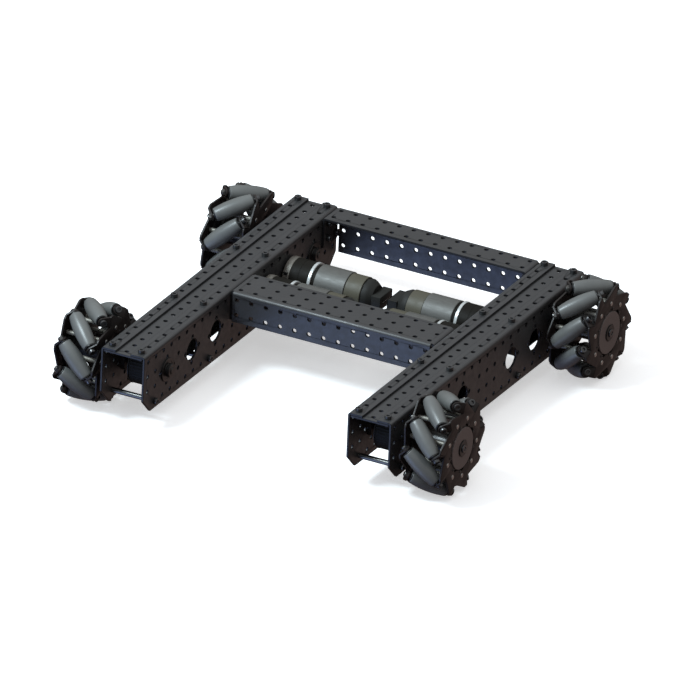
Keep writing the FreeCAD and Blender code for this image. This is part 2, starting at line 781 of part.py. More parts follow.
def axle_and_hub(end, side, sign):
    """Axle with its collar, belt pulley and spacer, and the wheel's hub."""
    name = f"{end}_{side}"
    turn = HALF_TURN if sign < 0 else NO_TURN
    placement = place(0, AXLES[end], AXLE_Z, turn)
    axle = size("axle_radius")
    face = size("cage_gap") / 2
    plate = size("cage_gauge")
    bearing_out = OUTER_FACE + BEARING_FLANGE[1]
    bearing_in = INNER_FACE - BEARING_FLANGE[1]
    outer_disc = WHEEL_X + face + plate + HUB_DISC[1]
    collar_end = bearing_in - SIDE_GAP
    spacer_end = WHEEL_X - face - HUB_NOSE

    axle_tip = collar_end - COLLAR_LENGTH - AXLE_CHAMFER
    shaft = lathe(name + "_axle_shaft", [
        (axle_tip, 0), (axle_tip, axle - AXLE_CHAMFER), (axle_tip + AXLE_CHAMFER, axle),
        (outer_disc, axle), (outer_disc, 0)])
    collar = lathe(name + "_collar", step_profile(
        [(collar_end - COLLAR_LENGTH, collar_end, COLLAR_RADIUS)], axle))
    pulley = lathe(name + "_pulley", step_profile(pulley_steps(), axle))
    spacer = lathe(name + "_spacer", step_profile(
        [(bearing_out + SIDE_GAP, spacer_end, COLLAR_RADIUS)], axle))
    hub = lathe(name + "_hub", step_profile([
        (spacer_end, WHEEL_X - face, HUB_CORE),
        (WHEEL_X - face, WHEEL_X - face + HUB_FLANGE[1], HUB_FLANGE[0]),
        (WHEEL_X - face + HUB_FLANGE[1], WHEEL_X + face - HUB_FLANGE[1], HUB_CORE),
        (WHEEL_X + face - HUB_FLANGE[1], WHEEL_X + face, HUB_FLANGE[0]),
        (WHEEL_X + face, outer_disc, HUB_DISC[0])], axle))
    bolt = lathe(name + "_hub_bolt", step_profile([
        (outer_disc, outer_disc + HUB_COLLAR[1], HUB_COLLAR[0]),
        (outer_disc + HUB_COLLAR[1], outer_disc + HUB_COLLAR[1] + HUB_BOLT[1], HUB_BOLT[0])], 0.0))
    pieces = [shaft, collar, pulley, spacer, hub, bolt]
    for piece in pieces:
        piece.Placement = placement
    group(f"{name}_axle_and_hub", pieces)


def wheels():
    stars = {lean: star_plate(f"StarPlate{'Right' if lean > 0 else 'Left'}", lean) for lean in (1, -1)}
    for end in AXLES:
        for side, sign in SIDES.items():
            for index in range(int(size("roller_count"))):
                label = f"{end}_{side}_roller_{index + 1}"
                roller(label, roller_placement(end, side, sign, index))
            wheel_cage(end, side, sign, stars[LEAN[end]])
            axle_and_hub(end, side, sign)


# ---------------------------------------------------------------- fasteners

SOCKET_RADIUS = 1.7
SOCKET_DEPTH = 2.2
THREAD_END = 1.0
STANDOFF_BORE = 1.5
STANDOFF_THREAD = 10.0


def screw_master(name, shank_length, shank_radius):
    """Socket head cap screw, head above the XY plane and shank below it."""
    head = rod(name + "Head", cell("screw_head_radius"), cell("screw_head_height"), place())
    socket = doc.addObject("Part::Prism", name + "Socket")
    bind(socket, Polygon=6, Circumradius=SOCKET_RADIUS, Height=SOCKET_DEPTH)
    socket.Placement = place(z=size("screw_head_height") - SOCKET_DEPTH)
    bored = doc.addObject("Part::Cut", name + "Bored")
    bored.Base = head
    bored.Tool = socket
    shank = rod(name + "Shank", shank_radius, shank_length, place(z=-shank_length))
    screw = doc.addObject("Part::Fuse", name)
    screw.Base = bored
    screw.Tool = shank
    return screw


def nut_master():
    """Plain hexagon nut, its bearing face on the XY plane and its body below."""
    blank = doc.addObject("Part::Prism", "NutBlank")
    bind(blank, Polygon=6, Circumradius=cell("nut_radius"), Height=cell("nut_height"))
    blank.Placement = place(z=-size("nut_height"), turn=FreeCAD.Rotation(Z, 30))
    bore = rod("NutBore", cell("screw_radius"), cell("nut_height"), place(z=-size("nut_height")))
    nut = doc.addObject("Part::Cut", "Nut")
    nut.Base = blank
    nut.Tool = bore
    return nut


def facing(point, direction):
    return FreeCAD.Placement(FreeCAD.Vector(*point), along(direction))


def bolted(screw, nut, point, direction, grip):
    """A screw whose head sits at the point facing the direction, and its nut."""
    nut_point = FreeCAD.Vector(*point) - direction * grip
    return [
        copy_of(screw, facing(point, direction)),
        copy_of(nut, facing(nut_point, direction)),
    ]


def frame_screws():
    """Every screw and nut of the frame, as separate solids."""
    two_sheets = 2 * GAUGE
    long_screw = screw_master("FrameScrew", two_sheets + size("nut_height") + THREAD_END,
                              cell("screw_radius"))
    motor_screw = screw_master("MotorScrew", GAUGE + SHAFT_REACH / 2 - THREAD_END,
                               "Dimensions.screw_radius - Dimensions.running_gap")
    standoff_screw = screw_master("StandoffScrew", GAUGE + STANDOFF_THREAD - THREAD_END,
                                  f"{STANDOFF_BORE} - Dimensions.running_gap")
    nut = nut_master()
    pieces = []
    middle_places = [(y, z) for y in (-PITCH, PITCH) for z in TAB_HEIGHTS]
    rear_places = [(REAR_COLUMNS[0], z) for z in TAB_HEIGHTS] + [(REAR_COLUMNS[1], TAB_HEIGHTS[1])]
    bottom = size("rail_bottom") + BOTTOM_HOLE
    for sign in SIDES.values():
        for y in SCREW_ROWS:
            for row in (-PITCH, PITCH):
                pieces += bolted(long_screw, nut, (sign * RAIL_X + row, y, RAIL_TOP), Z, two_sheets)
        tab_x = sign * (INNER_FACE - GAUGE)
        for y, z in middle_places + rear_places:
            pieces += bolted(long_screw, nut, (tab_x, y, z), X * -sign, two_sheets)
        for y in STANDOFF_ROWS:
            pieces.append(copy_of(standoff_screw, facing((sign * OUTER_FACE, y, bottom), X * sign)))
            pieces.append(copy_of(standoff_screw, facing((sign * INNER_FACE, y, bottom), X * -sign)))
        for motor_y in MOTORS.values():
            for y, z in four_around(motor_y, AXLE_Z):
                point = (sign * (INNER_FACE + GAUGE), y, z)
                pieces.append(copy_of(motor_screw, facing(point, X * sign)))
    group("frame_screws", pieces)


def rail_standoffs():
    """Round tubes that hold the two faces of each rail apart at the bottom."""
    length = size("rail_width") - 2 * GAUGE
    pieces = []
    master = lathe("Standoff", step_profile([(0, length, size("standoff_radius"))], STANDOFF_BORE))
    for sign in SIDES.values():
        for y in STANDOFF_ROWS:
            start = sign * RAIL_X - length / 2
            placement = place(start, y, size("rail_bottom") + BOTTOM_HOLE)
            pieces.append(copy_of(master, placement))
    group("rail_standoffs", pieces)


# ---------------------------------------------------------------- assembly

def check(thing):
    shape = thing.Shape
    if shape.isNull() or not shape.isValid():
        raise RuntimeError(f"{thing.Label}: no valid shape")
    if not shape.Solids:
        raise RuntimeError(f"{thing.Label}: no solid")


def check_states():
    bad = [o.Name for o in doc.Objects if {"Invalid", "Error"} & set(o.State)]
    if bad:
        raise RuntimeError(f"failed objects: {bad}")


def export():
    os.makedirs("parts", exist_ok=True)
    for thing in subparts:
        check(thing)
    for thing in subparts:
        thing.Shape.exportStep(f"parts/{thing.Label}.step")
        print(thing.Label, len(thing.Shape.Solids), round(thing.Shape.Volume))


rail_side_plates()
rail_top_plates()
middle_cross_channel()
rear_cross_angle()
gearmotors()
motor_pulleys()
drive_belts()
axle_bearings()
wheels()
frame_screws()
rail_standoffs()
doc.recompute()
check_states()
export()
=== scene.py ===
"""Looks for a four wheel robot chassis with roller wheels: metres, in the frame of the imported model."""

import json
import math

import bmesh
import bpy
from mathutils import Matrix, Vector
from mathutils.bvhtree import BVHTree


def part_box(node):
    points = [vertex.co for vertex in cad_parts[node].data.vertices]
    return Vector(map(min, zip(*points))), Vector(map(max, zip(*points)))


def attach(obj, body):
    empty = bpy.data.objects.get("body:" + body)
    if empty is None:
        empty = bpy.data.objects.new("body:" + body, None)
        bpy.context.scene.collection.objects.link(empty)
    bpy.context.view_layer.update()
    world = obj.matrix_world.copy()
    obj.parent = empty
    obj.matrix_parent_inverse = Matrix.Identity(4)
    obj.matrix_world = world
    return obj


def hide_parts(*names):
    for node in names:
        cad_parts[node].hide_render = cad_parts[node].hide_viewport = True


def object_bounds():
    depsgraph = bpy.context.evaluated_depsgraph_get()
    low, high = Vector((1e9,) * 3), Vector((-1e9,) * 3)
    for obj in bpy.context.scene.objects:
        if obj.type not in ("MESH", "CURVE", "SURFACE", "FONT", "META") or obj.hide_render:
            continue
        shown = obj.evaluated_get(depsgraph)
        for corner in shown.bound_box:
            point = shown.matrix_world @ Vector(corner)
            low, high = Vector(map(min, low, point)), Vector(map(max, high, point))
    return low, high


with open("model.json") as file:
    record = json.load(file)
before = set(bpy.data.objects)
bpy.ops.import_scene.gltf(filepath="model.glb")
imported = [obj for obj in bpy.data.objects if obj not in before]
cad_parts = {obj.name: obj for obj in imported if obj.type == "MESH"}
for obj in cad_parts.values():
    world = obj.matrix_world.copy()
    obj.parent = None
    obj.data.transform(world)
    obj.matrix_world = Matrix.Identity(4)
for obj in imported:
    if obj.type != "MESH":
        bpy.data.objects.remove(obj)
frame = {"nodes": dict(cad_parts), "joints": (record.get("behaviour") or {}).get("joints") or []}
cad_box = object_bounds()
nodes = frame["nodes"]
joints = {joint["name"]: joint for joint in frame["joints"]}

MM = 0.001
X_AXIS = Vector((1, 0, 0))
ENDS = ("front", "rear")
SIDES = {"left": -1, "right": 1}
ROLLERS = 9
STEP_ANGLE = math.tau / ROLLERS


# ---------------------------------------------------------------- node helpers

class Nodes:
    """Small wrapper that builds a material's node tree."""

    def __init__(self, name):
        self.material = bpy.data.materials.new(name)
        self.material.use_nodes = True
        self.tree = self.material.node_tree
        self.shader = self.tree.nodes["Principled BSDF"]
        coords = self.add("ShaderNodeTexCoord")
        self.place = coords.outputs["Object"]

    def add(self, kind, **settings):
        node = self.tree.nodes.new(kind)
        for name, value in settings.items():
            setattr(node, name, value)
        return node

    def link(self, source, target):
        self.tree.links.new(source, target)

    def noise(self, scale, detail=4.0, roughness=0.55, stretch=None):
        texture = self.add("ShaderNodeTexNoise")
        texture.inputs["Scale"].default_value = scale
        texture.inputs["Detail"].default_value = detail
        texture.inputs["Roughness"].default_value = roughness
        if stretch is None:
            self.link(self.place, texture.inputs["Vector"])
        else:
            mapping = self.add("ShaderNodeMapping")
            mapping.inputs["Scale"].default_value = stretch
            self.link(self.place, mapping.inputs["Vector"])
            self.link(mapping.outputs["Vector"], texture.inputs["Vector"])
        return texture.outputs["Fac"]

    def spread(self, value, low, high, start=0.3, end=0.7):
        """Map a texture's middle range to the values low..high."""
        ranged = self.add("ShaderNodeMapRange")
        self.link(value, ranged.inputs["Value"])
        ranged.inputs["From Min"].default_value = start
        ranged.inputs["From Max"].default_value = end
        ranged.inputs["To Min"].default_value = low
        ranged.inputs["To Max"].default_value = high
        return ranged.outputs["Result"]

    def blend(self, factor, first, second):
        """Colour that runs from first to second; either may be a colour or a socket."""
        mix = self.add("ShaderNodeMix", data_type="RGBA")
        colours = [socket for socket in mix.inputs if socket.type == "RGBA"]
        self.link(factor, mix.inputs[0])
        for socket, colour in zip(colours, (first, second)):
            if isinstance(colour, bpy.types.NodeSocket):
                self.link(colour, socket)
            else:
                socket.default_value = (*colour, 1)
        return next(socket for socket in mix.outputs if socket.type == "RGBA")

    def bump(self, height, strength, distance):
        bump = self.add("ShaderNodeBump")
        bump.inputs["Strength"].default_value = strength
        bump.inputs["Distance"].default_value = distance
        self.link(height, bump.inputs["Height"])
        self.link(bump.outputs["Normal"], self.shader.inputs["Normal"])

    def set(self, **values):
        for name, value in values.items():
            self.shader.inputs[name.replace("_", " ")].default_value = value


def coated_metal(name, light, dark, rough, specular=0.5, grain=0.25):
    """Thin satin coat over metal: soft clouding, fine grain, uneven gloss."""
    made = Nodes(name)
    cloud = made.noise(38, 3)
    made.link(made.blend(made.spread(cloud, 0, 1), dark, light), made.shader.inputs["Base Color"])
    fine = made.noise(1400, 2)
    made.link(made.spread(made.noise(160, 3), rough - 0.05, rough + 0.07), made.shader.inputs["Roughness"])
    made.set(Specular_IOR_Level=specular)
    made.bump(fine, grain, 0.00005)
    return made.material


def bare_metal(name, colour, rough, stretch, metallic=1.0):
    """Turned or drawn metal: fine lines along one direction."""
    made = Nodes(name)
    lines = made.noise(120, 2, 0.5, stretch)
    dark = tuple(0.8 * channel for channel in colour)
    made.link(made.blend(made.spread(lines, 0, 1), dark, colour), made.shader.inputs["Base Color"])
    made.link(made.spread(lines, rough - 0.06, rough + 0.08), made.shader.inputs["Roughness"])
    made.set(Metallic=metallic)
    made.bump(lines, 0.12, 0.00004)
    return made.material


def moulded(name, colour, rough, grain_scale=900.0, strength=0.3, specular=0.5):
    """Moulded rubber or plastic: faint clouding and a fine moulded grain."""
    made = Nodes(name)
    dark = tuple(0.82 * channel for channel in colour)
    cloud = made.noise(55, 4)
    made.link(made.blend(made.spread(cloud, 0, 1), dark, colour), made.shader.inputs["Base Color"])
    grain = made.noise(grain_scale, 3)
    made.link(made.spread(grain, rough - 0.05, rough + 0.08), made.shader.inputs["Roughness"])
    made.set(Specular_IOR_Level=specular)
    made.bump(grain, strength, 0.00006)
    return made.material


FRAME = coated_metal("frame_black", (0.026, 0.026, 0.027), (0.021, 0.021, 0.022), 0.47, 0.8)
# Near-black coat for the sheets' bevel faces: painted shade lines along the sheet edges and hole rims.
EDGE = coated_metal("worn_edge", (0.008, 0.008, 0.009), (0.005, 0.005, 0.006), 0.55, 0.3)
# Darker coat for the sheets' cut faces and hole walls: painted shade.
CUT = coated_metal("cut_edge", (0.016, 0.016, 0.018), (0.011, 0.011, 0.013), 0.4, 0.4)
CAGE = coated_metal("cage_black", (0.015, 0.011, 0.010), (0.011, 0.008, 0.007), 0.42, 0.35)
HUB = bare_metal("hub_bronze", (0.155, 0.130, 0.124), 0.5, (1, 8, 8), 0.2)
BLACK_METAL = coated_metal("black_anodised", (0.012, 0.011, 0.010), (0.008, 0.007, 0.007), 0.35)
RUBBER = moulded("roller_rubber", (0.122, 0.124, 0.119), 0.36, specular=0.5)
CORE = moulded("roller_core", (0.008, 0.008, 0.008), 0.38, 700.0)
BELT = moulded("belt_rubber", (0.009, 0.009, 0.008), 0.6, 1200.0, specular=0.2)
STEEL = bare_metal("dark_steel", (0.16, 0.16, 0.155), 0.34, (1, 10, 10))
POST = bare_metal("post_steel", (0.24, 0.225, 0.195), 0.5, (1, 10, 10), 0.5)
BRIGHT = bare_metal("bright_steel", (0.45, 0.45, 0.43), 0.3, (1, 12, 12))
SCREW = coated_metal("screw_black", (0.014, 0.015, 0.016), (0.009, 0.010, 0.011), 0.24, 1.0, 0.1)
CAN = bare_metal("motor_can", (0.106, 0.104, 0.096), 0.5, (1, 5, 5), 0.2)
BAND = coated_metal("motor_band", (0.080, 0.073, 0.052), (0.066, 0.060, 0.043), 0.5, 0.3)
FACE = bare_metal("gearbox_face", (0.16, 0.145, 0.125), 0.45, (3, 1, 1), 0.3)
RING = bare_metal("silver_ring", (0.55, 0.56, 0.55), 0.35, (1, 9, 9), 0.3)
GEARBOX = coated_metal("gearbox_black", (0.009, 0.008, 0.006), (0.007, 0.006, 0.005), 0.55, 0.1)
CAP = moulded("encoder_cap", (0.019, 0.019, 0.017), 0.55, specular=0.2)


# ---------------------------------------------------------------- mesh helpers

def to_object(name, work, materials, body, replaced=(), smooth_angle=35.0):
    """Finish a bmesh as a piece that rides on a body."""
    bmesh.ops.remove_doubles(work, verts=work.verts, dist=1e-7)
    bmesh.ops.recalc_face_normals(work, faces=work.faces)
    mesh = bpy.data.meshes.new(name)
    work.to_mesh(mesh)
    work.free()
    for material in materials:
        mesh.materials.append(material)
    piece = bpy.data.objects.new(name, mesh)
    bpy.context.scene.collection.objects.link(piece)
    mesh.shade_smooth()
    mesh.set_sharp_from_angle(angle=math.radians(smooth_angle))
    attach(piece, body)
    if replaced:
        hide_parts(*replaced)


def millimetres(pairs):
    """Profile written in millimetres, in metres."""
    return [(x * MM, radius * MM) for x, radius in pairs]


def lathe(work, matrix, profile, material=0, segments=40):
    """Turn (station, radius) points about the matrix's X axis; closed if the profile closes."""
    rings = []
    for station, radius in profile:
        if radius < 1e-9:
            rings.append([work.verts.new(matrix @ Vector((station, 0, 0)))])
            continue
        ring = []
        for index in range(segments):
            angle = math.tau * index / segments
            point = Vector((station, radius * math.cos(angle), radius * math.sin(angle)))
            ring.append(work.verts.new(matrix @ point))
        rings.append(ring)
    for first, second in zip(rings, rings[1:]):
        for index in range(segments):
            corners = [
                first[index % len(first)],
                first[(index + 1) % len(first)],
                second[(index + 1) % len(second)],
                second[index % len(second)],
            ]
            corners = list(dict.fromkeys(corners))
            if len(corners) > 2:
                work.faces.new(corners).material_index = material
    return rings


def prism(work, matrix, sides, radius, low, high, material=0):
    """Regular prism along the matrix's X axis."""
    ends = []
    for station in (low, high):
        ring = []
        for index in range(sides):
            angle = math.tau * index / sides
            point = Vector((station, radius * math.cos(angle), radius * math.sin(angle)))
            ring.append(work.verts.new(matrix @ point))
        ends.append(ring)
    for index in range(sides):
        after = (index + 1) % sides
        quad = [ends[0][index], ends[0][after], ends[1][after], ends[1][index]]
        work.faces.new(quad).material_index = material
    work.faces.new(ends[0][::-1]).material_index = material
    work.faces.new(ends[1]).material_index = material


def block(work, matrix, low, high, material=0, edge=0.0):
    """Box between two corners with its edges taken off by edge."""
    made = bmesh.ops.create_cube(work, size=1.0)
    verts = made["verts"]
    centre = (Vector(low) + Vector(high)) / 2
    extent = Vector(high) - Vector(low)
    for vert in verts:
        local = Vector(a * b for a, b in zip(vert.co, extent)) + centre
        vert.co = matrix @ local
    faces = {face for vert in verts for face in vert.link_faces}
    for face in faces:
        face.material_index = material
    if edge:
        edges = {e for vert in verts for e in vert.link_edges}
        bmesh.ops.bevel(work, geom=list(edges), offset=edge, segments=2, profile=0.5,
                        affect="EDGES", material=material)


def rounded(profile, corner, radius, steps=4):
    """Replace one point of a profile by a fillet of about the given radius."""
    before, point, after = (Vector(profile[i]) for i in (corner - 1, corner, corner + 1))
    into = (before - point).normalized() * radius
    out = (after - point).normalized() * radius
    arc = []
    for step in range(steps + 1):
        t = step / steps
        arc.append(tuple(point + into * (1 - t) ** 2 + out * t ** 2))
    return profile[:corner] + arc + profile[corner + 1:]


def frame_at(centre, axis, out):
    """Matrix whose X is the axis and whose Y points outwards."""
    x = Vector(axis).normalized()
    y = Vector(out) - Vector(out).project(x)
    y.normalize()
    z = x.cross(y)
    columns = Matrix((x, y, z)).transposed().to_4x4()
    return Matrix.Translation(centre) @ columns


# ---------------------------------------------------------------- wheel facts

class Wheel:
    """One wheel's centre, side and rollers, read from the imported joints."""

    def __init__(self, end, side):
        self.name = f"{end}_{side}"
        self.body = f"{self.name}_wheel"
        self.sign = SIDES[side]
        self.centre = Vector(joints[f"{self.name}_wheel_spin"]["pos_m"])
        self.rollers = []
        for index in range(ROLLERS):
            joint = joints[f"{self.name}_roller_{index + 1}_spin"]
            place = Vector(joint["pos_m"])
            out = place - self.centre
            self.rollers.append(frame_at(place, joint["axis"], out))
            self.circle = out.length
        first = joints[f"{self.name}_roller_1_spin"]
        out = Vector(first["pos_m"]) - self.centre
        around = X_AXIS.cross(out).normalized()
        self.lean = 1 if Vector(first["axis"]).dot(around) > 0 else -1
        self.phase = math.atan2(out.z, out.y)

WHEELS = [Wheel(end, side) for end in ENDS for side in SIDES]


# ---------------------------------------------------------------- rollers

ROLLER_REACH = 21 * MM
WHEEL_RADIUS = 50 * MM
TYRE_REACH = 19.9 * MM
TYRE_BORE = 5.0 * MM
CORE_RADIUS = 6.0 * MM
CORE_DISH = 20.3 * MM
BUSH_RADIUS = 3.4 * MM
PIN_BORE = 2.05 * MM
SKIN_STEPS = 14
SKIN_PLAY = 0.02 * MM
TYRE_EDGE = 0.7 * MM
CORE_CUT = 0.3 * MM


def barrel_radius(station, circle):
    """Radius at which the roller's skin lies on the wheel's cylinder."""
    return math.sqrt(WHEEL_RADIUS ** 2 - station ** 2 / 2) - circle - SKIN_PLAY


def roller_piece(wheel, index):
    """Barrel tyre and, at each end, its dished core with the bush."""
    name = f"{wheel.name}_roller_{index + 1}"
    matrix = wheel.rollers[index]
    work = bmesh.new()
    skin = []
    for step in range(SKIN_STEPS + 1):
        station = TYRE_REACH * (2 * step / SKIN_STEPS - 1)
        skin.append((station, barrel_radius(station, wheel.circle)))
    tyre = [(-TYRE_REACH, TYRE_BORE), *skin, (TYRE_REACH, TYRE_BORE)]
    tyre = rounded(rounded(tyre, len(tyre) - 2, TYRE_EDGE), 1, TYRE_EDGE)
    lathe(work, matrix, tyre + [tyre[0]], 0)
    for way in (1, -1):
        core = [
            (TYRE_REACH, PIN_BORE), (TYRE_REACH, CORE_RADIUS),
            (ROLLER_REACH - CORE_CUT, CORE_RADIUS), (ROLLER_REACH, CORE_RADIUS - CORE_CUT),
            (ROLLER_REACH, CORE_RADIUS - 1.0 * MM), (CORE_DISH, CORE_RADIUS - 1.5 * MM),
            (CORE_DISH, BUSH_RADIUS), (ROLLER_REACH, BUSH_RADIUS - 0.2 * MM),
            (ROLLER_REACH, PIN_BORE), (TYRE_REACH, PIN_BORE),
        ]
        lathe(work, matrix, [(way * station, radius) for station, radius in core], 1)
    to_object(name + "_tyre", work, [RUBBER, CORE], name, [name])


# ---------------------------------------------------------------- wheel cages

CAGE_INNER = 20.5 * MM
CAGE_GAUGE = 2.0 * MM
CAGE_BORE = 22.0 * MM
TOOTH_LEAD = 10.6 * MM
TOOTH_FOOT = 35.5 * MM
TOOTH_SHOULDER = 6.0 * MM
EAR_RADIUS = 4.8 * MM
EAR_STATION = 23.0 * MM
POST_CIRCLE = 30.2 * MM
POST_RADIUS = 2.4 * MM
PIN_RADIUS = 2.0 * MM
HEAD_RADIUS = 3.5 * MM
HEAD_HEIGHT = 3.2 * MM
PLATE_EDGE = 0.25 * MM
STAR_CORNER = 1.2 * MM
SCALLOP_DEPTH = 2.6 * MM
SCALLOP_MARGIN = 0.4 * MM
EAR_ROOT_FLARE = 1.0 * MM
# Rivet head in mm: height above the plate, radius.
RIVET = [(0.0, 2.4), (0.35, 2.2), (0.6, 1.4), (0.6, 0.0)]


def star_points(circle, lean):
    """Outline of the star in (outwards, round) turned through nine steps."""
    tip = circle + EAR_RADIUS
    tooth = [(TOOTH_FOOT, TOOTH_LEAD), (tip, TOOTH_LEAD), (tip, TOOTH_SHOULDER)]
    points = []
    for index in range(ROLLERS):
        angle = -index * STEP_ANGLE
        for out, around in tooth:
            y = out * math.cos(angle) - around * math.sin(angle)
            z = out * math.sin(angle) + around * math.cos(angle)
            points.append((y, lean * z))
    return points


def soften(points, radius, steps=3):
    """Round every corner of a closed outline a little."""
    made = []
    count = len(points)
    for index, point in enumerate(points):
        here = Vector(point)
        before = Vector(points[index - 1])
        after = Vector(points[(index + 1) % count])
        into = (before - here).normalized() * min(radius, (before - here).length / 2.2)
        out = (after - here).normalized() * min(radius, (after - here).length / 2.2)
        for step in range(steps + 1):
            t = step / steps
            made.append(tuple(here + into * (1 - t) ** 2 + out * t ** 2))
    return made


def ring_points(radius, count):
    """Circle about the origin, as a closed outline."""
    angles = [math.tau * index / count for index in range(count)]
    return [(radius * math.cos(angle), radius * math.sin(angle)) for angle in angles]


def filled_plate(name, outline, holes, thickness, edge):
    """Flat plate in the XY plane about z 0, with holes and soft edges, as a mesh."""
    curve = bpy.data.curves.new(name, "CURVE")
    curve.dimensions = "2D"
    curve.fill_mode = "BOTH"
    curve.extrude = thickness / 2 - edge
    curve.bevel_depth = edge
    curve.bevel_resolution = 1
    curve.offset = -edge
    for points in [outline, *holes]:
        spline = curve.splines.new("POLY")
        spline.points.add(len(points) - 1)
        for target, (x, y) in zip(spline.points, points):
            target.co = (x, y, 0, 1)
        spline.use_cyclic_u = True
    holder = bpy.data.objects.new(name, curve)
    mesh = bpy.data.meshes.new_from_object(holder)
    bpy.data.objects.remove(holder)
    bpy.data.curves.remove(curve)
    return mesh


def add_mesh(work, mesh, matrix, material=0):
    """Add a mesh to the work at a matrix, with one material."""
    start = len(work.faces)
    first = len(work.verts)
    work.from_mesh(mesh)
    work.verts.ensure_lookup_table()
    work.faces.ensure_lookup_table()
    for vert in work.verts[first:]:
        vert.co = matrix @ vert.co
    for face in work.faces[start:]:
        face.material_index = material


# The plate mesh lies in its own XY plane; this turns it to face along X.
FACE_X = Matrix(((0, 0, 1, 0), (1, 0, 0, 0), (0, 1, 0, 0), (0, 0, 0, 1)))


def scalloped_bore(radius, lobes, depth, count=90):
    """Round hole with narrow scallops, as a closed outline."""
    points = []
    for index in range(count):
        angle = math.tau * index / count
        reach = radius + depth * (0.5 + 0.5 * math.cos(lobes * angle)) ** 3
        points.append((reach * math.cos(angle), reach * math.sin(angle)))
    return points


def ear_outline(root):
    """Rounded ear with its round end about the origin and its root at -root."""
    points = []
    steps = 12
    for step in range(steps + 1):
        angle = math.pi * step / steps
        points.append((EAR_RADIUS * math.cos(angle), EAR_RADIUS * math.sin(angle)))
    points.append((-EAR_RADIUS - EAR_ROOT_FLARE, -root))
    points.append((EAR_RADIUS, -root))
    return points


def star_mesh(circle, lean):
    outline = soften(star_points(circle, lean), STAR_CORNER)
    bore = scalloped_bore(CAGE_BORE + SCALLOP_MARGIN, ROLLERS, SCALLOP_DEPTH)
    return filled_plate("star", outline, [bore], CAGE_GAUGE, PLATE_EDGE)


def ear_mesh():
    root = math.sqrt(2) * (CAGE_INNER + CAGE_GAUGE) - EAR_STATION - CAGE_GAUGE / 2
    pin_hole = ring_points(PIN_RADIUS, 20)
    return filled_plate("ear", ear_outline(root), [pin_hole], CAGE_GAUGE, PLATE_EDGE)


def socket_screw(work, matrix, radius, height, material):
    """Cap screw head with rounded rim and hexagon socket; seat at x 0, top at x height."""
    # the socket and the rim are shares of the head's radius and height
    socket = 0.5 * radius
    deep = 0.45 * height
    soft = 0.14 * radius
    profile = [
        (0, 0), (0, radius), (height - soft, radius), (height - 0.3 * soft, radius - 0.3 * soft),
        (height, radius - soft), (height, 1.12 * socket), (height - 0.15 * soft, socket),
    ]
    rings = lathe(work, matrix, profile, material, 24)
    corners = []
    for index in range(6):
        angle = math.tau * index / 6
        point = Vector((height - deep, socket * math.cos(angle), socket * math.sin(angle)))
        corners.append(work.verts.new(matrix @ point))
    rim = rings[-1]
    share = len(rim) // 6
    for index in range(6):
        for part in range(share):
            first = rim[(index * share + part) % len(rim)]
            second = rim[(index * share + part + 1) % len(rim)]
            corner = corners[index] if part < share / 2 else corners[(index + 1) % 6]
            work.faces.new([first, second, corner]).material_index = material
        middle = rim[(index * share + share // 2) % len(rim)]
        wall = [middle, corners[(index + 1) % 6], corners[index]]
        work.faces.new(wall).material_index = material
    work.faces.new(corners).material_index = material


def lock_nut(work, matrix, radius, height, material):
    """Hexagon nut with chamfered corners and a round collar, seat at x 0."""
    prism(work, matrix, 6, radius, 0, 0.68 * height, material)
    lathe(work, matrix, [(0.66 * height, 0.78 * radius), (0.9 * height, 0.74 * radius),
                         (height, 0.62 * radius), (height, 0.0)], material, 24)


def cage_piece(wheel):
    """Both star plates with their bent ears, the roller bolts, posts and rivet heads."""
    work = bmesh.new()
    middle = CAGE_INNER + CAGE_GAUGE / 2
    ear = ear_mesh()
    star = star_mesh(wheel.circle, wheel.lean)
    for outward in (1, -1):
        phase = wheel.phase if outward > 0 else wheel.phase + math.pi
        side = Matrix.Translation(wheel.centre) @ Matrix.Rotation(phase, 4, "X")
        if outward < 0:
            side = side @ Matrix.Rotation(math.pi, 4, "Y") @ Matrix.Rotation(math.pi, 4, "X")
        add_mesh(work, star, side @ Matrix.Translation((middle, 0, 0)) @ FACE_X, 0)
    for index, matrix in enumerate(wheel.rollers):
        for way in (1, -1):
            flip = Matrix.Identity(4) if way > 0 else Matrix.Rotation(math.pi, 4, "Y")
            seat = matrix @ flip
            # the ear's plate lies across the roller's axis, its root towards the star
            local = Matrix(((0, 0, 1, 0), (1, 0, 0, 0), (0, wheel.lean, 0, 0), (0, 0, 0, 1)))
            add_mesh(work, ear, seat @ Matrix.Translation((EAR_STATION, 0, 0)) @ local, 0)
            outside = Matrix.Translation((EAR_STATION + CAGE_GAUGE / 2, 0, 0))
            if way > 0:
                socket_screw(work, seat @ outside, HEAD_RADIUS, HEAD_HEIGHT, 1)
            else:
                lock_nut(work, seat @ outside, HEAD_RADIUS, HEAD_HEIGHT, 2)
        reach = EAR_STATION + CAGE_GAUGE / 2
        lathe(work, matrix, [(-reach, PIN_RADIUS), (reach, PIN_RADIUS)], 2, 16)
        out = (matrix.translation - wheel.centre).normalized()
        post = frame_at(wheel.centre + out * POST_CIRCLE, X_AXIS, out)
        lathe(work, post, [(-CAGE_INNER, POST_RADIUS), (CAGE_INNER, POST_RADIUS)], 3, 20)
        outer = CAGE_INNER + CAGE_GAUGE
        for way in (1, -1):
            rivet = [(way * (outer + x * MM), radius * MM) for x, radius in RIVET]
            lathe(work, post, rivet, 4, 16)
    to_object(f"{wheel.name}_cage", work, [CAGE, SCREW, STEEL, POST, BRIGHT], wheel.body,
              [f"{wheel.name}_wheel_cage"])


for wheel in WHEELS:
    for index in range(ROLLERS):
        roller_piece(wheel, index)
    cage_piece(wheel)


# ---------------------------------------------------------------- axle, hub and pulley

